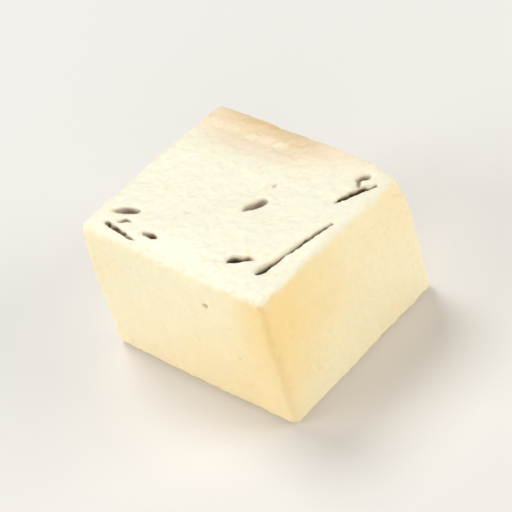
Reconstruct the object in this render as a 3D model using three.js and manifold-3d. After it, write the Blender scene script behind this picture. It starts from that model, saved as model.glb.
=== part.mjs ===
// A small block of firm tofu, knife-cut from a larger pressed one.
// Millimetres, +Z up. X runs along the longer cut, and the origin is the middle of the base.
// Front and back are -Y and +Y, left and right are -X and +X.

import * as THREE from "three";
import { mergeVertices } from "three/addons/utils/BufferGeometryUtils.js";
import Module from "manifold-3d";

const wasm = await Module();
wasm.setup();

const { clamp, degToRad, lerp, smoothstep } = THREE.MathUtils;

// ---- Driving dimensions ----

// The block at mid-height. Its cuts aren't quite square: each side leans in as it rises,
// and the top falls away to the right and to the back.
const LENGTH = 22.8;
const WIDTH = 20.3;
const HEIGHT = 15;
const LEAN_DEG = { left: 0.7, right: 1, front: 0.8, back: 0.7 };
const TOP_FALL_DEG = { right: 0.9, back: 1.7 };

const EDGE_RADIUS = 0.8;
// Corners and edges pushed further in by handling: where on the box, in half-lengths from its
// middle, the push, and how far it reaches along X, Y and Z.
const DENTS = [
  { at: [1, 1, 1], push: [-0.5, -0.5, -0.5], reach: [3.4, 3, 2.8] },
  { at: [-1, -1, 1], push: [0.2, 0.2, -0.2], reach: [2.2, 2.2, 2.2] },
  { at: [0, -1, 1], push: [0, 0.32, -0.32], reach: [7, 1.7, 1.7] },
];

// Soft unevenness of the cuts: height, and waves per mm along X, Y and Z.
const WAVES = [
  { height: 0.05, x: 0.055, y: 0.03, z: 0.05, start: 0.4 },
  { height: 0.045, x: -0.04, y: 0.08, z: 0.04, start: 2.1 },
  { height: 0.025, x: 0.13, y: -0.1, z: 0.16, start: 4.4 },
];
// A shallow sunken stretch of the top, beside the back edge.
const HOLLOW = { x: -4.4, y: 6.5, reach: 6, spread: 1.7, depth: 0.32 };

// Segments of the skin: across the flat of each side, along X, Y and Z, and in each half of an
// edge's rounding.
const FLAT_STEPS = { x: 18, y: 16, z: 12 };
const ROUNDING_STEPS = 3;
const LENS_SIDES = 12;

// Gaps that the curd left in the top: the X and Y of both ends, with the width and depth halfway.
// A taper above 0 widens one towards its far end, and a bow bends it to the left of its run.
const TOP_GAPS = [
  { from: [1.6, -1.5], to: [2.9, 1.3], width: 1.3, depth: 0.42, taper: 0.2, bow: 0.15 },
  { from: [4.7, -7.1], to: [7.5, -5.4], width: 0.85, depth: 0.6, taper: -0.5, bow: 0.1 },
  { from: [8.1, -7.2], to: [9, -4], width: 0.85, depth: 0.8, taper: -0.6, bow: 0 },
  { from: [8.4, -6.6], to: [10.6, 2.9], width: 0.6, depth: 0.8, taper: -0.3, bow: 0.15 },
  { from: [8.4, 3.4], to: [9.8, 6.9], width: 0.75, depth: 0.7, taper: 0.1, bow: 0.1 },
  { from: [8.1, 6.9], to: [9.3, 8.6], width: 1, depth: 0.45, taper: 0.2, bow: 0.1 },
  { from: [-9.8, -7.3], to: [-6.8, -5.9], width: 0.95, depth: 0.45, taper: 0.3, bow: 0.2 },
  { from: [-8.3, -8.1], to: [-6.4, -7.2], width: 0.5, depth: 0.45, taper: 0, bow: 0.1 },
  { from: [-5.3, -8.3], to: [-2.8, -7.9], width: 0.7, depth: 0.45, taper: 0.5, bow: 0.1 },
  { from: [-9.6, -8.4], to: [-3.1, -9.25], width: 0.5, depth: 0.55, taper: -0.3, bow: -0.1 },
];

const HALF = new THREE.Vector3(LENGTH, WIDTH, HEIGHT).multiplyScalar(0.5);

// ---- The block's skin ----

// 0 at the left, front or base side of the block, and 1 at the other side.
function share(value, half) {
  return clamp(0.5 + value / (2 * half), 0, 1);
}

// How far the dents push a point of the box in.
function pushedIn(point) {
  const sum = new THREE.Vector3();
  for (const { at, push, reach } of DENTS) {
    const middle = new THREE.Vector3(...at).multiply(HALF);
    const apart = middle.sub(point).divide(new THREE.Vector3(...reach));
    sum.addScaledVector(new THREE.Vector3(...push), Math.exp(-apart.lengthSq()));
  }
  return sum;
}

function wavesAt(p) {
  const turns = (w) => w.x * p.x + w.y * p.y + w.z * p.z;
  const height = (w) => w.height * Math.sin(2 * Math.PI * turns(w) + w.start);
  return WAVES.reduce((sum, wave) => sum + height(wave), 0);
}

function hollowAt(p) {
  const along = (p.x - HOLLOW.x) / HOLLOW.reach;
  const across = (p.y - HOLLOW.y) / HOLLOW.spread;
  return HOLLOW.depth * Math.exp(-(along ** 4) - across ** 2);
}

function leaned(p) {
  const shift = (deg) => p.z * Math.tan(degToRad(deg));
  const fall = (deg, run) => share(p.z, HALF.z) * run * Math.tan(degToRad(deg));
  return new THREE.Vector3(
    p.x + lerp(shift(LEAN_DEG.left), -shift(LEAN_DEG.right), share(p.x, HALF.x)),
    p.y + lerp(shift(LEAN_DEG.front), -shift(LEAN_DEG.back), share(p.y, HALF.y)),
    p.z - fall(TOP_FALL_DEG.right, p.x) - fall(TOP_FALL_DEG.back, p.y),
  );
}

// The skin over a point of the sharp-edged box: its place, and the way it faces. The block's
// own weight keeps the base flat, so waves and dents fade out where the skin turns downwards.
function skin(point) {
  const inner = HALF.clone().subScalar(EDGE_RADIUS);
  const core = point.clone().clamp(inner.clone().negate(), inner);
  const facing = point.clone().sub(core).normalize();
  const place = core.addScaledVector(facing, EDGE_RADIUS);
  const relief = wavesAt(place) - smoothstep(facing.z, 0, 1) * hollowAt(place);
  const unpressed = smoothstep(facing.z, -1, 0);
  place.addScaledVector(facing, unpressed * relief);
  place.addScaledVector(pushedIn(point), unpressed);
  return { place: leaned(place), facing };
}

// ---- Solids ----

function moveVertices(geometry, move) {
  const position = geometry.getAttribute("position");
  const point = new THREE.Vector3();
  for (let i = 0; i < position.count; i++) {
    const moved = move(point.fromBufferAttribute(position, i));
    position.setXYZ(i, moved.x, moved.y, moved.z);
  }
  return geometry;
}

function toSolid(geometry) {
  geometry.deleteAttribute("normal");
  geometry.deleteAttribute("uv");
  const closed = mergeVertices(geometry);
  const vertProperties = new Float32Array(closed.attributes.position.array);
  const triVerts = new Uint32Array(closed.index.array);
  return new wasm.Manifold(new wasm.Mesh({ numProp: 3, vertProperties, triVerts }));
}

function toGeometry(solid) {
  const { vertProperties, triVerts } = solid.getMesh();
  const geometry = new THREE.BufferGeometry();
  geometry.setAttribute("position", new THREE.BufferAttribute(vertProperties, 3));
  return geometry.setIndex(new THREE.BufferAttribute(triVerts, 1));
}

// Where on the sharp-edged box a grid line lies, so that the lines are even over the flat of a
// side and turn by even angles in the rounding. The grid runs from -1 to 1 in equal steps.
function spacedOut(t, axis) {
  const flat = HALF[axis] - EDGE_RADIUS;
  const steps = (Math.abs(t) * (FLAT_STEPS[axis] + 2 * ROUNDING_STEPS) - FLAT_STEPS[axis]) / 2;
  if (steps <= 0) return (Math.sign(t) * flat * (2 * steps + FLAT_STEPS[axis])) / FLAT_STEPS[axis];
  return Math.sign(t) * (flat + EDGE_RADIUS * Math.tan((steps / ROUNDING_STEPS) * (Math.PI / 4)));
}

function uncutBlock() {
  const segments = (axis) => FLAT_STEPS[axis] + 2 * ROUNDING_STEPS;
  const box = new THREE.BoxGeometry(2, 2, 2, segments("x"), segments("y"), segments("z"));
  return moveVertices(box, (p) => {
    const onBox = new THREE.Vector3(spacedOut(p.x, "x"), spacedOut(p.y, "y"), spacedOut(p.z, "z"));
    return skin(onBox).place;
  });
}

// A lens with its long axis on X.
function lens(length, { width, depth, taper, bow }) {
  const rounds = Math.round(9 + length);
  const ball = new THREE.SphereGeometry(1, LENS_SIDES, rounds).rotateZ(Math.PI / 2);
  return moveVertices(ball, (p) => {
    const fullness = Math.exp(taper * p.x);
    const bend = bow * (1 - p.x * p.x);
    return p.set((p.x * length) / 2, (p.y * fullness * width) / 2 + bend, p.z * fullness * depth);
  });
}

// Lays a cutter on the skin over a point of the box, turned about the skin's normal.
function layOnSkin(cutter, point, heading) {
  const { place, facing } = skin(point);
  const upright = new THREE.Vector3(0, 0, 1);
  cutter.rotateZ(heading);
  cutter.applyQuaternion(new THREE.Quaternion().setFromUnitVectors(upright, facing));
  return cutter.translate(place.x, place.y, place.z);
}

function topGap(gap) {
  const from = new THREE.Vector2(...gap.from);
  const run = new THREE.Vector2(...gap.to).sub(from);
  const middle = from.addScaledVector(run, 0.5);
  const onTop = new THREE.Vector3(middle.x, middle.y, HALF.z);
  return layOnSkin(lens(run.length(), gap), onTop, run.angle());
}

function tofuBlock() {
  const pitted = (solid, gap) => solid.subtract(toSolid(topGap(gap)));
  return toGeometry(TOP_GAPS.reduce(pitted, toSolid(uncutBlock())));
}

// Brings the middle of the geometry's base to the origin.
function standOnOrigin(geometry) {
  geometry.computeBoundingBox();
  const { min, max } = geometry.boundingBox;
  return geometry.translate(-(min.x + max.x) / 2, -(min.y + max.y) / 2, -min.z);
}

const firmTofu = new THREE.MeshStandardMaterial({ color: 0xfdf6de, roughness: 0.5, metalness: 0 });

const block = new THREE.Mesh(standOnOrigin(tofuBlock()), firmTofu);
block.name = "tofu_block";

const part = new THREE.Group();
part.add(block);

export default part;
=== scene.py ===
import math
import random

import bmesh
import bpy
from mathutils import Euler, Matrix, Vector, noise


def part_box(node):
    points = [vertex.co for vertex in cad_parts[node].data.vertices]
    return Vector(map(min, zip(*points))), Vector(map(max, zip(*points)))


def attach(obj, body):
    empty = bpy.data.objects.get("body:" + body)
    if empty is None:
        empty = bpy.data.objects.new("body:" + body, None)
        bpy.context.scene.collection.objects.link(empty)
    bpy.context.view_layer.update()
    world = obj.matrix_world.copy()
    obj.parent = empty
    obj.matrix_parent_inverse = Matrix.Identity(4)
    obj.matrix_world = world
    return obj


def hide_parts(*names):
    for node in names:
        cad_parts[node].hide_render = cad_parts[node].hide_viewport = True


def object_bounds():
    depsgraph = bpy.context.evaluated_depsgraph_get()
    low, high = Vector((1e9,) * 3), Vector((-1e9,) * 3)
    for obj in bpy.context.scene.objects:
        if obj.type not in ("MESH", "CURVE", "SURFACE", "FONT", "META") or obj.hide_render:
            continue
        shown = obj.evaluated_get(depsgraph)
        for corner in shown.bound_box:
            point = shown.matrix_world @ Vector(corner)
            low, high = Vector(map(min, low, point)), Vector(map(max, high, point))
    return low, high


# A block of firm tofu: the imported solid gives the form, and this script gives it the fine
# surface of pressed bean curd. Everything is in metres, in the solid's own frame.

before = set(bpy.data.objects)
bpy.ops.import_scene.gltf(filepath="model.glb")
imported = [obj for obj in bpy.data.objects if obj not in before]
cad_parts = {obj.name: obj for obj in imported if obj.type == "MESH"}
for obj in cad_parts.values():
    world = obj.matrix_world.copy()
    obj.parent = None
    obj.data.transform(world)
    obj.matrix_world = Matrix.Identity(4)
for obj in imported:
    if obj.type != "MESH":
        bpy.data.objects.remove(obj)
cad_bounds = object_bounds()

MM = 0.001

# ---- Skin ----

MERGE_REACH = 0.0005 * MM  # corners of the solid's triangles that are this near are one point
GRAIN_PITCH = 0.158 * MM  # distance between the points of the fine skin
SMOOTHING = 0.5  # strength of one round of smoothing
MELT_ROUNDS = 2  # rounds that melt the solid's facets together
FILL_ROUNDS = 260  # rounds that fill the pits, to measure how deep they are
PIT_FULL_DEPTH = 0.3 * MM  # measured depth at which a pit is ragged and gets its painted shade in full
EDGE_FULL_HEIGHT = 0.35 * MM  # measured height at which an edge crumbles in full

OUTWARD = {
    "top": Vector((0, 0, 1)),
    "base": Vector((0, 0, -1)),
    "front": Vector((0, -1, 0)),
    "back": Vector((0, 1, 0)),
    "left": Vector((-1, 0, 0)),
    "right": Vector((1, 0, 0)),
}

# Small pores on each side: how many, and their sizes. Pressing has flattened them, so they are
# longer than they are high.
PORES = {"top": 9, "front": 6, "back": 11, "left": 10, "right": 6, "base": 10}
PORE_LENGTH = (0.35 * MM, 1.0 * MM)
PORE_SHORTNESS = 2  # the higher this is, the more of them are short
PORE_SLENDERNESS = (0.4, 0.8)  # width as a share of length
PORE_DEPTH = (0.1 * MM, 0.22 * MM)
PORE_TILT = math.radians(25)  # how far a pore on an upright side is out of level
PORE_MARGIN = 0.1  # kept free along the edges, as a share of a side
PORE_SEED = 23

# Fine cracks that widen a gap of the top and branch off it: the X and Y of both ends, and the
# width and depth halfway.
FINE_CRACKS = [
    ((8.1 * MM, 3.7 * MM), (9.4 * MM, 7.1 * MM), 0.6 * MM, 0.6 * MM),
    ((8.9 * MM, 5.6 * MM), (10.3 * MM, 7.9 * MM), 0.6 * MM, 0.55 * MM),
    ((9.2 * MM, 5.9 * MM), (7.8 * MM, 7.6 * MM), 0.6 * MM, 0.55 * MM),
]

# Relief of the skin: feature size, height and seed.
SWELL = (3.4 * MM, 0.06 * MM, 3)
LUMPS = (0.95 * MM, 0.055 * MM, 11)
GRAIN = (0.42 * MM, 0.03 * MM, 29)
DRAG = (0.5 * MM, 0.02 * MM, 41)  # streaks that the knife dragged down the sides
DRAG_STRETCH = 9  # length of a streak over its width
EDGE_CRUMBLE = (0.75 * MM, 0.14 * MM, 53)
PIT_RAGGEDNESS = (0.5 * MM, 0.14 * MM, 61)
PIT_OPENING = 0.1 * MM  # moves the pits' walls back, as the melting closes them a little
RELIEF_LAYERS = (0.9, 2.1, 3)  # how fast the layers of its noise fade and shrink, and how many

# Noise also gives vectors, which depend on this seed: the points of the skin slide along it,
# which frays outlines, the curds are uneven, and the borders of the patches of painted shade
# wander.
VECTOR_SEED = 6
TORN = (0.8 * MM, 0.2 * MM)  # feature size and reach
CURD_WANDER = (0.95 * MM, 0.25)  # feature size, and reach as a share of a curd
SHADE_WASH_WANDER = (4.5 * MM, 1.3 * MM)  # feature size and reach

# Pressed curds: their width and height, and the depth of the creases between them and of the
# voids where three curds meet, with the widths of both as a share of a curd. They show in
# patches, in full where the patches' own noise is above PATCH_FULL.
CURD_SIZE = Vector((1.7, 1.7, 1.0)) * MM
CREASE_DEPTH = 0.035 * MM
CREASE_WIDTH = 0.3
VOID_DEPTH = 0.08 * MM
VOID_WIDTH = 0.16
PATCH_SIZE = 4.5 * MM
PATCH_FULL = 0.5

# How much creases, voids and the low points of the grain count as hollow, for the painted shade
# in hollows, and how low the grain lies, as a share of its height, where it counts in full.
CREASE_HOLLOW = 0.1
VOID_HOLLOW = 0.4
GRAIN_HOLLOW = 0.7
GRAIN_HOLLOW_AT = 0.7

# Where a deeper cream is painted on as washes of shade: on which kind of side, a place in shares
# of the block's half-lengths from its middle, the reach along X, Y and Z, and the strength.
SHADE_WASH_PATCHES = [
    ("side", (1, -0.8, 0.55), (4 * MM, 9 * MM, 7.5 * MM), 0.85),
    ("side", (0.5, -1, -0.7), (8 * MM, 3 * MM, 7 * MM), 0.55),
    ("side", (-0.6, -1, -1), (7 * MM, 5 * MM, 5 * MM), 0.3),
    ("side", (1, 0.5, -1), (5 * MM, 7 * MM, 5 * MM), 0.2),
    ("side", (-1, 1, -0.2), (8 * MM, 8 * MM, 8 * MM), 0.5),
    ("side", (-1, -0.6, 0.7), (5 * MM, 6 * MM, 5 * MM), 0.35),
    ("side", (0.8, 1, 0.6), (7 * MM, 6 * MM, 5 * MM), 0.35),
    ("top", (-0.35, 0.88, 1), (8 * MM, 2.8 * MM, 3 * MM), 0.95),
]
# A point counts as one of the top, for the washes of painted shade, by how far it faces upwards:
# not below the first value, and in full above the second.
SHADE_WASH_TOP_RANGE = (0.3, 0.9)


def show(name, data):
    """Adds an object with that mesh, light or camera to the scene, at the origin."""
    piece = bpy.data.objects.new(name, data)
    bpy.context.collection.objects.link(piece)
    return piece


def mesh_from(bm, name):
    """Turns a bmesh into a mesh of that name."""
    mesh = bpy.data.meshes.new(name)
    bm.to_mesh(mesh)
    bm.free()
    return mesh


def apply_modifiers(piece):
    """Replaces a piece's mesh by what its modifiers make of it."""
    evaluated = piece.evaluated_get(bpy.context.evaluated_depsgraph_get())
    mesh = bpy.data.meshes.new_from_object(evaluated)
    piece.modifiers.clear()
    piece.data = mesh


def add_smoothing(piece, rounds):
    """Adds so many rounds of smoothing to a piece's modifiers."""
    smooth = piece.modifiers.new("smooth", "SMOOTH")
    smooth.factor = SMOOTHING
    smooth.iterations = rounds


def closed_copy(node):
    """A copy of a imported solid's mesh, with its triangles joined into one skin."""
    bm = bmesh.new()
    bm.from_mesh(node.data)
    bmesh.ops.remove_doubles(bm, verts=bm.verts, dist=MERGE_REACH)
    for face in bm.faces:
        face.smooth = True
    return mesh_from(bm, "tofu_block_curd")


def pore_places(block, low, high, draw):
    """Scatters the pores over the sides: for each, a place on the skin and its normal."""
    middle = (low + high) / 2
    reach = (high - low) / 2
    for side, count in PORES.items():
        outward = OUTWARD[side]
        for _ in range(count):
            spread = Vector(draw.uniform(PORE_MARGIN - 1, 1 - PORE_MARGIN) for _ in range(3))
            flat = spread - outward * spread.dot(outward) + outward
            _, place, normal, _ = block.closest_point_on_mesh(middle + flat * reach)
            yield place, normal


def add_cutter(bm, place, turn, length, width, depth):
    """Adds a squashed ball, sunk by half into the skin."""
    squash = Matrix.Diagonal((length / 2, width / 2, depth, 1))
    laid = Matrix.Translation(place) @ turn @ squash
    bmesh.ops.create_icosphere(bm, subdivisions=2, radius=1, matrix=laid)


def add_pore_cutters(bm, block, low, high):
    """Adds the pores' cutters, near level on upright sides and turned any way elsewhere."""
    draw = random.Random(PORE_SEED)
    shortest, longest = PORE_LENGTH
    for place, normal in pore_places(block, low, high, draw):
        length = shortest + (longest - shortest) * draw.random() ** PORE_SHORTNESS
        width = length * draw.uniform(*PORE_SLENDERNESS)
        depth = draw.uniform(*PORE_DEPTH)
        facing = normal.to_track_quat("Z", "Y").to_matrix().to_4x4()
        upright = abs(normal.z) < 0.5
        spin = Matrix.Rotation(draw.uniform(-1, 1) * (PORE_TILT if upright else math.pi), 4, "Z")
        add_cutter(bm, place, facing @ spin, length, width, depth)


def add_crack_cutters(bm, block, high):
    """Adds the fine cracks' cutters, each laid on the top at its own middle."""
    for start, end, width, depth in FINE_CRACKS:
        run = Vector(end) - Vector(start)
        middle = Vector(start) + run / 2
        above = middle.to_3d() + Vector((0, 0, 2 * high.z))
        _, place, _, _ = block.ray_cast(above, OUTWARD["base"])
        heading = Matrix.Rotation(math.atan2(run.y, run.x), 4, "Z")
        add_cutter(bm, place, heading, run.length, width, depth)


def curd_cutters(block, low, high):
    """Builds one mesh of all that is cut out of the skin."""
    bm = bmesh.new()
    add_pore_cutters(bm, block, low, high)
    add_crack_cutters(bm, block, high)
    return show("curd_cutters", mesh_from(bm, "curd_cutters"))


def cut_and_remesh(block, cutters):
    """Cuts the pores and fine cracks and covers the block with an even, fine skin."""
    cut = block.modifiers.new("cut", "BOOLEAN")
    cut.operation = "DIFFERENCE"
    cut.solver = "EXACT"
    cut.use_self = True
    cut.object = cutters
    skin = block.modifiers.new("skin", "REMESH")
    skin.mode = "VOXEL"
    skin.voxel_size = GRAIN_PITCH
    skin.use_smooth_shade = True
    add_smoothing(block, MELT_ROUNDS)
    apply_modifiers(block)
    bpy.data.objects.remove(cutters)


def measure_against_filled(block):
    """Compares the block with a copy that is smoothed until its pits are filled. Gives each
    point's depth below that copy, less than 0 along edges, and how far it faces upwards."""
    filled = show("filled", block.data.copy())
    add_smoothing(filled, FILL_ROUNDS)
    apply_modifiers(filled)
    pairs = zip(block.data.vertices, filled.data.vertices)
    depths = [(after.co - before.co).dot(after.normal) for before, after in pairs]
    upward = [after.normal.z for after in filled.data.vertices]
    bpy.data.objects.remove(filled)
    return depths, upward


def ripple(place, relief, stretch=1):
    """Layered noise of the relief's feature size and height, at a place on the skin. It may be
    stretched upwards."""
    size, height, seed = relief
    point = place / size
    point.z /= stretch
    return height * noise.fractal(point + Vector((seed, seed, seed)), *RELIEF_LAYERS)


def smooth_ramp(value, low, high):
    """0 below low, 1 above high, and smooth between them."""
    share = min(1, max(0, (value - low) / (high - low)))
    return share * share * (3 - 2 * share)


def divided(place, sizes):
    """A place divided by a size along each axis."""
    return Vector(p / size for p, size in zip(place, sizes))


def gaps_between_curds(place):
    """How near a place is to a crease between two curds, and to a void between three: 0 to 1."""
    size, reach = CURD_WANDER
    wander = noise.noise_vector(place / size) * reach
    distances, _ = noise.voronoi(divided(place, CURD_SIZE) + wander)
    patch = smooth_ramp(noise.noise(place / PATCH_SIZE), 0, PATCH_FULL)
    crease = 1 - smooth_ramp(distances[1] - distances[0], 0, CREASE_WIDTH)
    void = 1 - smooth_ramp(distances[2] - distances[0], 0, VOID_WIDTH)
    return crease * patch, void * patch


def painted_shade_wash(place, upward, low, high):
    """How much of the deeper cream of painted shade a place on the skin gets, from 0 to 1."""
    size, wander = SHADE_WASH_WANDER
    middle, half = (low + high) / 2, (high - low) / 2
    top = smooth_ramp(upward, *SHADE_WASH_TOP_RANGE)
    place = place + noise.noise_vector(place / size) * wander
    total = 0
    for kind, share, reach, strength in SHADE_WASH_PATCHES:
        apart = divided(place - middle - Vector(share) * half, reach)
        total += strength * math.exp(-apart.length_squared) * (top if kind == "top" else 1 - top)
    return min(1, total)


def curd_relief(vertex, depth):
    """How far the fine relief lifts one point of the skin, and how hollow it is there, which sets
    the painted shade in hollows.
    """
    place = vertex.co
    edge = smooth_ramp(-depth, 0, EDGE_FULL_HEIGHT)
    pit = smooth_ramp(depth, 0, PIT_FULL_DEPTH)
    side = 1 - abs(vertex.normal.z)
    crease, void = gaps_between_curds(place)
    grain = ripple(place, GRAIN)
    lift = ripple(place, SWELL) + ripple(place, LUMPS) + grain
    lift -= crease * CREASE_DEPTH + void * VOID_DEPTH
    lift += side * ripple(place, DRAG, DRAG_STRETCH)
    lift -= edge * abs(ripple(place, EDGE_CRUMBLE))
    lift += pit * (ripple(place, PIT_RAGGEDNESS) - PIT_OPENING)
    low_grain = smooth_ramp(-grain / GRAIN[1], 0, GRAIN_HOLLOW_AT)
    return lift, CREASE_HOLLOW * crease + VOID_HOLLOW * void + GRAIN_HOLLOW * low_grain


def slide(vertex):
    """How far noise slides a point of the skin, along the skin."""
    size, reach = TORN
    shift = noise.noise_vector(vertex.co / size) * reach
    return shift - vertex.normal * shift.dot(vertex.normal)


def keep_attribute(mesh, name, values):
    """Stores one number for each point of a mesh."""
    attribute = mesh.attributes.new(name, "FLOAT", "POINT")
    attribute.data.foreach_set("value", values)


def roughen(block, low, high):
    """Frays and lifts the skin, keeps the base flat, and stores what the finish reads."""
    depths, upward = measure_against_filled(block)
    vertices = block.data.vertices
    reliefs = [curd_relief(v, depth) for v, depth in zip(vertices, depths)]
    lifted = [v.co + slide(v) + v.normal * lift for v, (lift, _) in zip(vertices, reliefs)]
    # Painted shade: how much of the deeper cream wash each point gets.
    shade_wash_share = [painted_shade_wash(v.co, up, low, high) for v, up in zip(vertices, upward)]
    for vertex, place in zip(vertices, lifted):
        vertex.co = (place.x, place.y, max(0, place.z))
    keep_attribute(block.data, "pit_depth", [max(0, d) / PIT_FULL_DEPTH for d in depths])
    keep_attribute(block.data, "upward", upward)
    keep_attribute(block.data, "hollow_shade", [hollow_shade for _, hollow_shade in reliefs])
    keep_attribute(block.data, "shade_wash_share", shade_wash_share)


def make_tofu(node):
    """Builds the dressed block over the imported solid."""
    noise.seed_set(VECTOR_SEED)
    low, high = (Vector(corner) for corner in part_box(node.name))
    block = show("tofu_block_curd", closed_copy(node))
    bpy.context.view_layer.update()
    cut_and_remesh(block, curd_cutters(block, low, high))
    roughen(block, low, high)
    block.data.materials.clear()
    block.data.materials.append(firm_tofu_finish())
    return block


# ---- Finishes ----

# Painted light and shade: the top gets a whiter cream, as if lit, and the sides a yellower one,
# as if in shade.
TOP_LIT_CREAM = (0.99, 0.92, 0.765, 1)
SIDE_SHADE_CREAM = (1.0, 0.86, 0.635, 1)
# Painted shade: the deeper creams washed over the top's back edge and parts of the sides.
TOP_SHADE_WASH = (0.73, 0.55, 0.3, 1)
SIDE_SHADE_WASH = (0.98, 0.7, 0.31, 1)
# Painted shade: a warmer, deeper cream in creases, voids and the grain's low points.
HOLLOW_SHADE_CREAM = (0.92, 0.66, 0.38, 1)
# Painted shade: a dark tan deep inside the pits.
PIT_SHADE_TAN = (0.13, 0.075, 0.035, 1)

# Values between which one look turns into another: how far the skin faces upwards, how hollow it
# is, and how deep in a pit it is, as a share of the pits' full depth.
TOP_RANGE = (0.35, 0.9)
HOLLOW_RANGE = (0.1, 1.2)
HOLLOW_SHADE_TINT = 0.45  # share of the painted shade cream where the skin is most hollow
SUNKEN_RANGE = (0.2, 0.8)
SUNKEN_ROUGHNESS = 0.9

# Patches of unlike roughness, and of a thicker and thinner film of whey: their size, the values
# of their noise between which they change, and the roughness or the film's weight at both.
SHEEN = (0.9 * MM, (0.3, 0.7), (0.34, 0.55))
WHEY = (2.5 * MM, (0.35, 0.7), (0.05, 0.35))

# The finest grain, as a bump: its size, how many layers its noise has and how rough they are,
# then the bump's strength and height.
FINEST_GRAIN = (0.2 * MM, 4, 0.6)
FINEST_BUMP = {"Strength": 0.55, "Distance": 0.03 * MM}

# What is the same all over the curd. Light enters it a little way.
CURD_SOCKETS = {
    "Subsurface Weight": 0.85,
    "Subsurface Radius": (1.0, 0.82, 0.65),
    "Subsurface Scale": 0.35 * MM,
    "IOR": 1.38,
    "Specular IOR Level": 0.45,
    "Coat Roughness": 0.18,
    "Coat IOR": 1.33,
}

FLOOR_GREY = (0.81, 0.81, 0.805, 1)
FLOOR_ROUGHNESS = 0.9

# The sockets of a Mix node for the share and for both sources, and its output.
MIX_SOCKETS = {"RGBA": ((0, 6, 7), 2), "FLOAT": ((0, 2, 3), 0)}


def new_material(name):
    """An empty node material with its Principled shader."""
    material = bpy.data.materials.new(name)
    material.use_nodes = True
    return material, material.node_tree, material.node_tree.nodes["Principled BSDF"]


def add_node(tree, kind, inputs=None, **settings):
    """Adds a shader node and sets its inputs and its properties."""
    node = tree.nodes.new(kind)
    for name, value in settings.items():
        setattr(node, name, value)
    for name, value in (inputs or {}).items():
        node.inputs[name].default_value = value
    return node


def mixed(tree, kind, share, low, high):
    """Mixes two colours (RGBA) or two numbers (FLOAT) by a share. All three may be values or
    other nodes' outputs."""
    slots, result = MIX_SOCKETS[kind]
    mix = add_node(tree, "ShaderNodeMix", data_type=kind)
    for slot, source in zip(slots, (share, low, high)):
        if isinstance(source, bpy.types.NodeSocket):
            tree.links.new(source, mix.inputs[slot])
        else:
            mix.inputs[slot].default_value = source
    return mix.outputs[result]


def mapped(tree, source, low, high, to_low=0.0, to_high=1.0):
    """Maps a range of values to another, with a smooth ramp."""
    ramp = add_node(tree, "ShaderNodeMapRange", interpolation_type="SMOOTHSTEP")
    for slot, value in zip(range(1, 5), (low, high, to_low, to_high)):
        ramp.inputs[slot].default_value = value
    tree.links.new(source, ramp.inputs[0])
    return ramp.outputs[0]


def stored(tree, name):
    """What the block's mesh stores for each point under that name."""
    return add_node(tree, "ShaderNodeAttribute", attribute_name=name).outputs["Fac"]


def speckle(tree, size, layers=3, roughness=0.5):
    """Noise of that feature size, fixed to the piece."""
    place = add_node(tree, "ShaderNodeTexCoord").outputs["Object"]
    inputs = {"Scale": 1 / size, "Detail": layers, "Roughness": roughness}
    texture = add_node(tree, "ShaderNodeTexNoise", inputs)
    tree.links.new(place, texture.inputs["Vector"])
    return texture.outputs["Fac"]


def curd_colour(tree, pit):
    """Cream, painted whiter on the top for light and yellower on the sides for shade, with deeper
    washes of painted shade, painted shade in hollows, and a tan painted shade in the pits.
    """
    on_top = mapped(tree, stored(tree, "upward"), *TOP_RANGE)
    # Painted light and shade: whiter cream on the top, yellower cream on the sides.
    lit_and_shaded_cream = mixed(tree, "RGBA", on_top, SIDE_SHADE_CREAM, TOP_LIT_CREAM)
    shade_wash_cream = mixed(tree, "RGBA", on_top, SIDE_SHADE_WASH, TOP_SHADE_WASH)
    # Painted shade: the deeper cream washed on where shade falls.
    shade_washed_cream = mixed(tree, "RGBA", stored(tree, "shade_wash_share"), lit_and_shaded_cream, shade_wash_cream)
    # Painted shade in the hollows.
    hollow_shade = mapped(tree, stored(tree, "hollow_shade"), *HOLLOW_RANGE, 0, HOLLOW_SHADE_TINT)
    grained = mixed(tree, "RGBA", hollow_shade, shade_washed_cream, HOLLOW_SHADE_CREAM)
    # Painted shade in the pits, deeper where they are deeper.
    return mixed(tree, "RGBA", mapped(tree, pit, 0, 1), grained, PIT_SHADE_TAN)


def firm_tofu_finish():
    """Moist curd with a soft sheen, matt in the pits."""
    material, tree, shader = new_material("firm_tofu")
    pit = stored(tree, "pit_depth")
    sunken = mapped(tree, pit, *SUNKEN_RANGE)
    tree.links.new(curd_colour(tree, pit), shader.inputs["Base Color"])

    patches = {"Roughness": (SHEEN, SUNKEN_ROUGHNESS), "Coat Weight": (WHEY, 0)}
    for name, ((size, noise_range, values), in_pits) in patches.items():
        on_skin = mapped(tree, speckle(tree, size), *noise_range, *values)
        tree.links.new(mixed(tree, "FLOAT", sunken, on_skin, in_pits), shader.inputs[name])
    for name, value in CURD_SOCKETS.items():
        shader.inputs[name].default_value = value

    bump = add_node(tree, "ShaderNodeBump", FINEST_BUMP)
    tree.links.new(speckle(tree, *FINEST_GRAIN), bump.inputs["Height"])
    tree.links.new(bump.outputs["Normal"], shader.inputs["Normal"])
    return material


def floor_finish():
    """Plain, pale and matt."""
    material, _, shader = new_material("pale_floor")
    shader.inputs["Base Color"].default_value = FLOOR_GREY
    shader.inputs["Roughness"].default_value = FLOOR_ROUGHNESS
    return material


# ---- Studio ----

# The camera looks at the block's front right edge from above, and is rolled a little.
CAMERA_AZIMUTH = math.radians(51.8)
CAMERA_ELEVATION = math.radians(40.6)
CAMERA_ROLL = math.radians(-16.8)
CAMERA_DISTANCE = 168 * MM
CAMERA_NEAREST = 10 * MM  # the nearest that the camera shows
CAMERA_LENS = 128
SENSOR = 36

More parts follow.
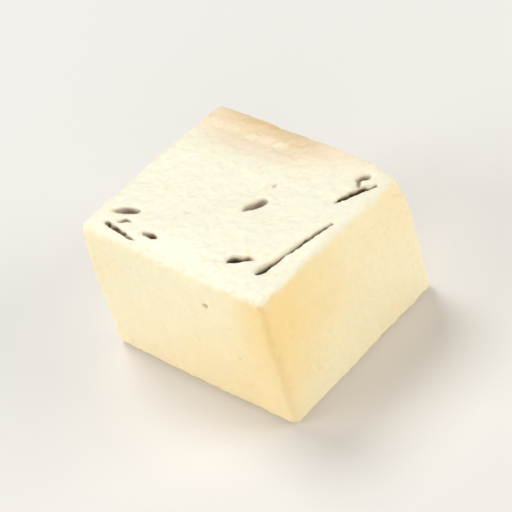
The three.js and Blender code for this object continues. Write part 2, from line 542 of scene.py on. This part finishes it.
# Where each light stands, as seen from the block, its width, its power in watts and its tint.
LIGHTS = {
    "key": (Vector((-0.38, 0.12, 0.64)), 0.36, 2.8, (1.0, 0.985, 0.955)),
    "left": (Vector((-0.38, -0.56, 0.26)), 0.55, 2.5, (1.0, 0.97, 0.93)),
    "right": (Vector((0.52, 0.36, 0.24)), 0.5, 2.2, (1.0, 0.95, 0.86)),
    "front_fill": (Vector((0.5, -0.5, 0.3)), 0.6, 1.3, (1.0, 0.96, 0.9)),
}
SKY = (1.0, 0.975, 0.945, 1)
SKY_STRENGTH = 0.3
FLOOR_REACH = 1.5  # from the block to the floor's edges


def set_camera(target):
    """Aims the camera at the target."""
    data = bpy.data.cameras.new("camera")
    data.lens = CAMERA_LENS
    data.sensor_width = SENSOR
    data.clip_start = CAMERA_NEAREST
    camera = show("camera", data)
    tilt = Euler((math.pi / 2 - CAMERA_ELEVATION, 0, CAMERA_AZIMUTH)).to_matrix()
    back = tilt @ Vector((0, 0, 1))
    turned = tilt @ Matrix.Rotation(CAMERA_ROLL, 3, "Z")
    camera.matrix_world = Matrix.Translation(target + back * CAMERA_DISTANCE) @ turned.to_4x4()
    bpy.context.scene.camera = camera


def set_lights(target):
    """Places the round area lights, all aimed at the target."""
    for name, (offset, width, power, tint) in LIGHTS.items():
        data = bpy.data.lights.new(name, "AREA")
        data.shape = "DISK"
        data.size = width
        data.energy = power
        data.color = tint
        light = show(name, data)
        light.location = target + offset
        light.rotation_euler = offset.to_track_quat("Z", "Y").to_euler()


def set_sky():
    """Fills the room with soft light."""
    world = bpy.data.worlds.new("soft_sky")
    world.use_nodes = True
    background = world.node_tree.nodes["Background"]
    background.inputs["Color"].default_value = SKY
    background.inputs["Strength"].default_value = SKY_STRENGTH
    bpy.context.scene.world = world


def make_floor():
    """Lays a plain floor under the block."""
    bm = bmesh.new()
    bmesh.ops.create_grid(bm, x_segments=1, y_segments=1, size=FLOOR_REACH)
    floor = show("floor", mesh_from(bm, "floor"))
    floor.data.materials.append(floor_finish())


tofu = make_tofu(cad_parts["tofu_block"])
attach(tofu, "root")
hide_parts("tofu_block")

block_middle = (Vector(cad_bounds[0]) + Vector(cad_bounds[1])) / 2
set_camera(block_middle)
set_lights(block_middle)
set_sky()
make_floor()
bpy.context.scene.view_settings.view_transform = "Standard"
